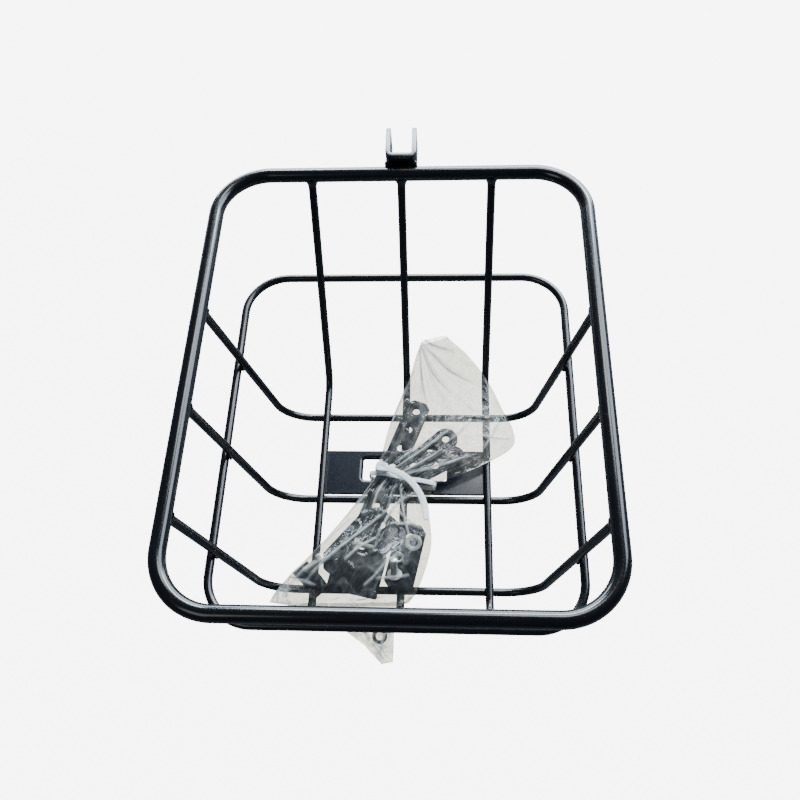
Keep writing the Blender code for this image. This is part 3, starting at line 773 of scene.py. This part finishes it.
def ridge(x, y, z, sharp):
    """A creased noise: near 1 along thin lines and near 0 between them."""
    return max(0.0, 1 - abs(noise.noise(Vector((x, y, z)))) * 2.6) ** sharp


# Long creases of the film: start and end on plan, height and half width, in millimetres
CREASES = (
    (12, 104, 46, 96, 2.6, 1.6), (13, 100, 22, 46, 3.0, 1.8), (14, 100, 44, 62, 2.4, 1.8),
    (14, 101, 64, 74, 1.8, 1.6), (-8, -16, 47, 29, 3.4, 2.6), (-2, -20, 34, 3, 3.0, 2.2),
    (0, -22, 60, -1, 2.6, 2.0), (-8, -10, 20, 16, 2.6, 1.8), (66, 20, 98, 20, 1.8, 1.5),
    (72, 6, 88, 40, 2.0, 1.5), (40, 12, 62, 36, 1.8, 1.6), (-24, 12, 2, 84, 1.6, 1.4),
    (-12, -56, -80, -122, 2.4, 1.3), (-16, -27, -26, -55, 2.2, 1.5), (-2, -31, 8, -82, 2.6, 1.5),
    (16, -36, -11, -57, 2.2, 1.4), (-26, -25, -62, -74, 2.4, 1.8), (2, -41, -21, -82, 2.2, 1.3),
    (-4, -56, 18, -70, 2.6, 1.6), (18, -70, -5, -69, 2.2, 1.4), (-21, -82, -47, -103, 2.2, 1.3),
    (-29, -34, -87, -104, 2.6, 2.2), (-59, -101, -96, -124, 2.0, 1.6), (-45, -62, -67, -86, 2.0, 1.5),
    (-98, -112, -70, -124, 2.2, 1.5), (-20, -118, 8, -112, 1.8, 1.4), (-30, -124, -8, -100, 1.8, 1.3),
    (-8, -140, -30, -158, 1.4, 1.2), (-8, -150, -16, -170, 1.4, 1.2),
)


def crease_lift(x, y):
    """How far the long creases stand up at a point, and how near it lies to a crest, which gets whitening and
    a painted highlight.
    """
    lift, crest = 0.0, 0.0
    for x1, y1, x2, y2, height, half in CREASES:
        run_x, run_y = x2 - x1, y2 - y1
        length = math.hypot(run_x, run_y)
        along = ((x - x1) * run_x + (y - y1) * run_y) / length ** 2
        if not 0 < along < 1:
            continue
        bow = math.sin(math.pi * along) * 1.6
        off = abs(((x - x1) * run_y - (y - y1) * run_x) / length - bow)
        if off < half * 3:
            strength = math.sin(math.pi * along) ** 0.35
            lift = max(lift, height * strength * math.exp(-(off / half) ** 1.3))
            crest = max(crest, strength * math.exp(-(off / 0.95) ** 2))
    return lift, crest


def beside(grid):
    """The four neighbours of each inner point of a grid."""
    return grid[:-2, 1:-1], grid[2:, 1:-1], grid[1:-1, :-2], grid[1:-1, 2:]


def settle(height, held, fixed, ceiling, push, passes):
    """Pull the film taut over what lies under it, by successive over-relaxation on a chequered grid."""
    rows, columns = height.shape
    parity = np.add.outer(np.arange(rows), np.arange(columns)) % 2
    for colour in (0, 1) * passes:
        mean = height.copy()
        mean[1:-1, 1:-1] = sum(beside(height)) / 4 + push
        moved = height + DRAW * (mean - height)
        moved = np.minimum(np.maximum(moved, held), ceiling)
        height = np.where((parity == colour) & ~fixed, moved, height)
    return height


def contents_height(x, y):
    """How high the film has to stand over the fittings at each point of its grid, in millimetres."""
    merged = bmesh.new()
    for name in CONTENTS:
        merged.from_mesh(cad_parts[name].data)
    tree = BVHTree.FromBMesh(merged)
    held = np.full(x.shape, -1e3)
    for spot in np.ndindex(x.shape):
        hit = tree.ray_cast(kit_point(x[spot], y[spot], 60), -UP, 0.2)[0]
        if hit is not None:
            held[spot] = (hit.z - FLOOR) / MM + FILM_GAP
    merged.free()
    for _ in range(2):
        wider = held.copy()
        wider[1:-1, 1:-1] = np.maximum.reduce([held[1:-1, 1:-1], *beside(held)])
        held = wider
    return held


def film_surface():
    """Top and bottom of the bag: the film drawn over its contents, creased and pleated, with whitening and
    painted highlights along its crests.
    """
    rows, run = film_rows()
    u = np.linspace(-1, 1, ACROSS)
    u = np.sign(u) * (1 - (1 - np.abs(u)) ** 1.15)
    inset = 0.3 / np.maximum(np.hypot(rows[:, 2] - rows[:, 0], rows[:, 3] - rows[:, 1]), 1)
    spread = inset[:, None] + (u + 1) / 2 * (1 - 2 * inset[:, None])
    x = rows[:, 0, None] + (rows[:, 2] - rows[:, 0])[:, None] * spread
    y = rows[:, 1, None] + (rows[:, 3] - rows[:, 1])[:, None] * spread
    low, high = rows[:, 4, None], rows[:, 5, None]
    edge = low + np.minimum(1.6, (high - low) * 0.3)
    bottom = low + 0.35 + (edge - low - 0.35) * np.abs(u) ** 7
    ceiling = low + (high - low) / 2 * (1 + (1 - np.abs(u) ** (1 / 0.6)).clip(0, 1) ** 0.6) - 0.3
    ceiling = np.maximum(ceiling, edge)
    held = np.minimum(np.maximum(contents_height(x, y), bottom + 0.5), ceiling)

    height = np.maximum(held, edge + (ceiling - edge) * 0.4)
    fixed = np.zeros(x.shape, bool)
    fixed[:, 0] = fixed[:, -1] = True
    height[:, 0] = height[:, -1] = edge[:, 0]
    gathered = np.abs(run) < 3.0
    height[gathered] = (ceiling - 0.5)[gathered]
    fixed[gathered] = True
    height[0] = (edge + (ceiling - edge) * 0.8)[0]
    height[-1] = (edge + (ceiling - edge) * 0.4)[-1]
    fixed[0] = fixed[-1] = True
    push = np.where(run < 0, 0.0016, 0.0007)[1:-1, None]
    height = settle(height, held, fixed, ceiling, push, 260)
    for _ in range(4):
        soft = height.copy()
        soft[1:-1, 1:-1] = sum(beside(height), height[1:-1, 1:-1] * 2) / 6
        height = np.where(fixed, height, np.maximum(soft, held - 0.6))

    white = np.zeros(x.shape)
    for row in range(x.shape[0]):
        away = abs(run[row])
        side = 7.0 if run[row] < 0 else 2.0
        pleat = 0.25 + 2.1 * min(1.0, away / 12) * math.exp(-(away / 34) ** 1.5)
        for column in range(1, x.shape[1] - 1):
            px, py, across = x[row, column], y[row, column], u[column]
            calm = min(1.0, (1 - abs(across)) * 9)
            # Pleats that run out from the neck, whitened and given a painted highlight along their crests
            folds = ridge(across * 8.5, side, away * 0.012, 2.2)
            lift = pleat * (folds - 0.25)
            white[row, column] = 0.5 * pleat / 2.1 * folds ** 6
            # A fan of folds from the corner of the mouth, each with whitening and a painted highlight
            fan_x, fan_y = px - 14, py - 100
            reach = math.hypot(fan_x, fan_y)
            if reach < 75 and run[row] < 0:
                rays = ridge(math.atan2(fan_y, fan_x) * 4.5, 1.0, 0.0, 2.0)
                lift += min(reach * 0.05, 1.5) * math.exp(-reach / 40) * (rays - 0.2)
                white[row, column] += 0.9 * math.exp(-reach / 34) * rays ** 6
            # Crumples everywhere, finer at the far corner and along the tail
            crumple = 0.9 * ridge(px / 19, py / 19, 3.0, 4.0) + 0.22 * ridge(px / 8, py / 10, 9.0, 3.5)
            corner = math.exp(-(math.hypot(px + 102, py + 127) / 22) ** 2) + 0.8 * (py < -146)
            crumple += corner * 1.3 * ridge(px / 4.5, py / 4.5, 5.0, 1.6)
            if away < 4:
                crumple *= 0.3
            fold, crest = crease_lift(px, py) if away > 3.5 else (0.0, 0.0)
            lift += crumple - 0.3 + fold
            # Whitening and painted highlight along crease crests, crumple tops and the far corner's crinkles
            white[row, column] += 0.9 * crest + 0.2 * max(0.0, crumple - 0.6) + 0.55 * corner * crumple
            height[row, column] += lift * calm
            if row and row < x.shape[0] - 1:
                bottom[row, column] += 0.5 * calm * ridge(px / 11, py / 11, 21.0, 2.0)
    height = np.minimum(np.maximum(height, held - 0.75), ceiling + 0.2)
    height[:, 0] = height[:, -1] = edge[:, 0]
    return x, y, height, np.minimum(bottom, height), white.clip(0, 1)


def make_bag(film):
    """The bag as one film: two layers joined along both sides and across the tail, open at its mouth."""
    x, y, top, bottom, white = film_surface()
    bm = bmesh.new()
    whitening_and_highlight = bm.verts.layers.float.new("crease")
    rows, columns = x.shape
    rings = []
    for row in range(rows):
        over = [bm.verts.new(kit_point(*spot)) for spot in zip(x[row], y[row], top[row])]
        under = over[1:-1]
        if row < rows - 1:
            spots = list(zip(x[row], y[row], bottom[row]))[1:-1]
            under = [bm.verts.new(kit_point(*spot)) for spot in spots]
        rings.append(over + under[::-1])
    for first, second in zip(rings, rings[1:]):
        for side in range(len(first)):
            after = (side + 1) % len(first)
            bm.faces.new(list(dict.fromkeys((first[side], first[after], second[after], second[side]))))
    for row, ring in enumerate(rings):
        for column in range(columns):
            ring[column][whitening_and_highlight] = white[row, column]
    bag = piece("kit_bag_film", bm, film, "fitting_kit", ["kit_bag"])
    bag.data.set_sharp_from_angle(angle=math.radians(180))
    return bag


def smooth_route(points, steps, closed):
    """A smooth route through points."""
    count = len(points)
    route = []
    for index in range(count if closed else count - 1):
        near = [index + shift for shift in (-1, 0, 1, 2)]
        near = [points[n % count if closed else min(max(n, 0), count - 1)] for n in near]
        route += [between(near, step / steps) for step in range(steps)]
    return route if closed else [*route, points[-1]]


def tie_band(bm, route, sideways, half_width, closed):
    """The tie's flat band with rounded edges and fine teeth across it."""
    rings = []
    for index, (point, way, wide) in enumerate(zip(route, headings(route, closed), sideways)):
        thick = way.cross(wide).normalized() * 0.65 * MM
        taper = 1.0 if closed else min(1.0, 0.45 + (len(route) - 1 - index) * 0.18)
        tooth = 0.0 if index % 2 else 0.09
        rings.append([
            bm.verts.new(point + wide * across * half_width * MM * taper + thick * rise)
            for across, rise in (
                (-1.0, -0.35), (-0.9, -0.85), (-0.7, -1.0), (0.7, -1.0), (0.9, -0.85), (1.0, -0.35),
                (1.0, 0.35), (0.9, 0.85), (0.7, 1.0 + tooth), (-0.7, 1.0 + tooth), (-0.9, 0.85), (-1.0, 0.35),
            )
        ])
    skin(bm, rings, closed, not closed)


def make_tie(nylon):
    """Releasable nylon tie: band round the neck, head, and the free end arching back over the pouch."""
    x1, y1, x2, y2, low, high = [(a + b) / 2 for a, b in zip(BAG_STATIONS[NECK], BAG_STATIONS[NECK + 1])]
    left, right = kit_point(x1, y1, (low + high) / 2), kit_point(x2, y2, (low + high) / 2)
    across = (right - left).normalized()
    half_width = (right - left).length / 2 + 1.0 * MM
    half_height = ((high - low) / 2 + 1.0) * MM
    bm = bmesh.new()
    bmesh.ops.create_cube(bm, size=2.0)
    bmesh.ops.subdivide_edges(bm, edges=bm.edges[:], cuts=5, use_grid_fill=True)
    for vert in bm.verts:
        vert.co = vert.co.lerp(vert.co.normalized() * 1.18, 0.45)
        if vert.co.z > 0.6 and abs(vert.co.x) < 0.5 and abs(vert.co.y) < 0.42:
            vert.co.z -= 0.28
        vert.co = Vector((vert.co.x * 5.2, vert.co.y * 4.4, vert.co.z * 3.0)) * MM
    lay(bm, -19, -17, 22.3, math.degrees(math.atan2(across.y, across.x)))

    loop = []
    for side in range(20):
        turn = 2 * math.pi * side / 20
        wide = math.copysign(abs(math.cos(turn)) ** 0.6, math.cos(turn))
        rise = math.copysign(abs(math.sin(turn)) ** (0.6 if side < 10 else 0.1), math.sin(turn))
        if 0 < side < 6:
            rise *= 0.62
        loop.append((left + right) / 2 + across * wide * half_width + UP * rise * half_height)
    route = smooth_route(loop, 8, True)
    tie_band(bm, route, [UP.cross(across)] * len(route), 2.1, True)
    tail = ((-19, -17, 23), (-8, -21, 24.6), (4, -28, 24.8), (14, -40, 25.2), (20, -54, 26), (22, -68, 28))
    route = smooth_route([kit_point(*point) for point in tail], 12, False)
    tie_band(bm, route, [way.cross(UP).normalized() for way in headings(route, False)], 2.9, False)
    return piece("cable_tie_moulded", bm, nylon, "fitting_kit", ["cable_tie"])


# Light, floor and camera


def make_studio():
    """Pale floor, soft light from the back and the right, and the camera over the basket's front."""
    material, tree, place = start_material("studio_floor_paper")
    fibre = add(tree, "TexNoise", {"Vector": place, "Scale": 1 / (2 * MM), "Detail": 3.0})
    tone = add(tree, "ValToRGB", {"Fac": fibre}, [(0.3, "55585c"), (0.7, "5d6064")])
    paper = add(tree, "BsdfDiffuse", {"Color": tone})
    glow = add(tree, "Emission", {"Color": linear("ffffff"), "Strength": FLOOR_GLOW})
    lit = add(tree, "AddShader", {0: paper, 1: glow})
    seen = add(tree, "LightPath").outputs["Is Camera Ray"]
    shown = add(tree, "MixShader", {0: seen, 1: paper, 2: lit})
    bm = bmesh.new()
    bmesh.ops.create_grid(bm, x_segments=8, y_segments=8, size=6.0)
    mesh = bpy.data.meshes.new("studio_floor")
    bm.to_mesh(mesh)
    bm.free()
    mesh.materials.append(finished(material, shown))
    floor = bpy.data.objects.new("studio_floor", mesh)
    floor.location.z = -0.5 * MM
    bpy.context.collection.objects.link(floor)

    world = bpy.data.worlds.new("studio_air")
    bpy.context.scene.world = world
    world.use_nodes = True
    sky = world.node_tree
    sky.nodes.clear()
    dim = add(sky, "Background", {"Color": linear("b4c8e6"), "Strength": 0.13})
    pale = add(sky, "Background", {"Color": linear("ffffff"), "Strength": FLOOR_GLOW})
    seen = add(sky, "LightPath").outputs["Is Camera Ray"]
    air = add(sky, "MixShader", {0: seen, 1: dim, 2: pale})
    add(sky, "OutputWorld", {"Surface": air})

    aim = (0, 0, 0.08)
    for name, place, target, size, watts, tint in (
        ("soft_back", (0.1, 2.0, 0.46), aim, (3.6, 0.5), 90, (0.72, 0.87, 1.0)),
        ("soft_mid", (0.25, 1.7, 1.35), aim, (1.8, 0.6), 95, (0.84, 0.93, 1.0)),
        ("soft_back_low", (0.1, 1.6, 0.01), (0.1, 1.6, 1.0), (3.4, 1.6), 34, (0.84, 0.93, 1.0)),
        ("soft_right", (1.35, 1.0, 1.35), aim, (1.5, 1.3), 48, (0.74, 0.86, 1.0)),
        ("soft_high", (0.35, 0.95, 1.9), aim, (0.7, 0.5), 10, (0.95, 0.98, 1.0)),
        ("soft_front", (-0.9, -1.1, 1.6), aim, (0.8, 0.8), 3, (1.0, 0.97, 0.93)),
    ):
        data = bpy.data.lights.new(name, "AREA")
        data.shape = "RECTANGLE"
        data.size, data.size_y = size
        data.energy = watts
        data.color = tint
        light = bpy.data.objects.new(name, data)
        light.location = place
        light.rotation_euler = (Vector(target) - Vector(place)).to_track_quat("-Z", "Y").to_euler()
        light.visible_camera = False
        bpy.context.collection.objects.link(light)

    camera = bpy.data.cameras.new("camera")
    camera.sensor_width = 36
    camera.lens = 36.49
    viewpoint = bpy.data.objects.new("camera", camera)
    viewpoint.location = (RIM.x + 0.0399, RIM.y - 0.3030, LONG_Z + 0.6925)
    viewpoint.rotation_euler = [math.radians(angle) for angle in (28.04, 2.90, 1.74)]
    bpy.context.collection.objects.link(viewpoint)
    bpy.context.scene.camera = viewpoint


def main():
    make_studio()
    rim_paint = stoved_paint("stoved_enamel_rim", "07080a", "0c0e12", 0.20)
    rod_paint = stoved_paint("stoved_enamel_rods", "060708", "0b0c0f", 0.25)
    # The plate and bracket take the rim's black enamel with a lighter, bluer base: a painted reflection of the
    # bluish overhead light on the upward-facing plate
    plate_paint = stoved_paint("stoved_enamel_plate", "0c121b", "131b27", 0.27)
    fitting_paint = stoved_paint("stoved_enamel_fittings", "090e16", "101824", 0.27)
    zinc = zinc_plate()
    nylon = moulded_nylon()
    rubber = moulded_rubber()
    film = polythene_film()
    make_rods(rim_paint, rod_paint)
    make_welds(rod_paint)
    make_base_plate(plate_paint)
    make_bracket(plate_paint)
    make_fittings(fitting_paint, zinc, rubber)
    tie = make_tie(nylon)
    bag = make_bag(film)


main()
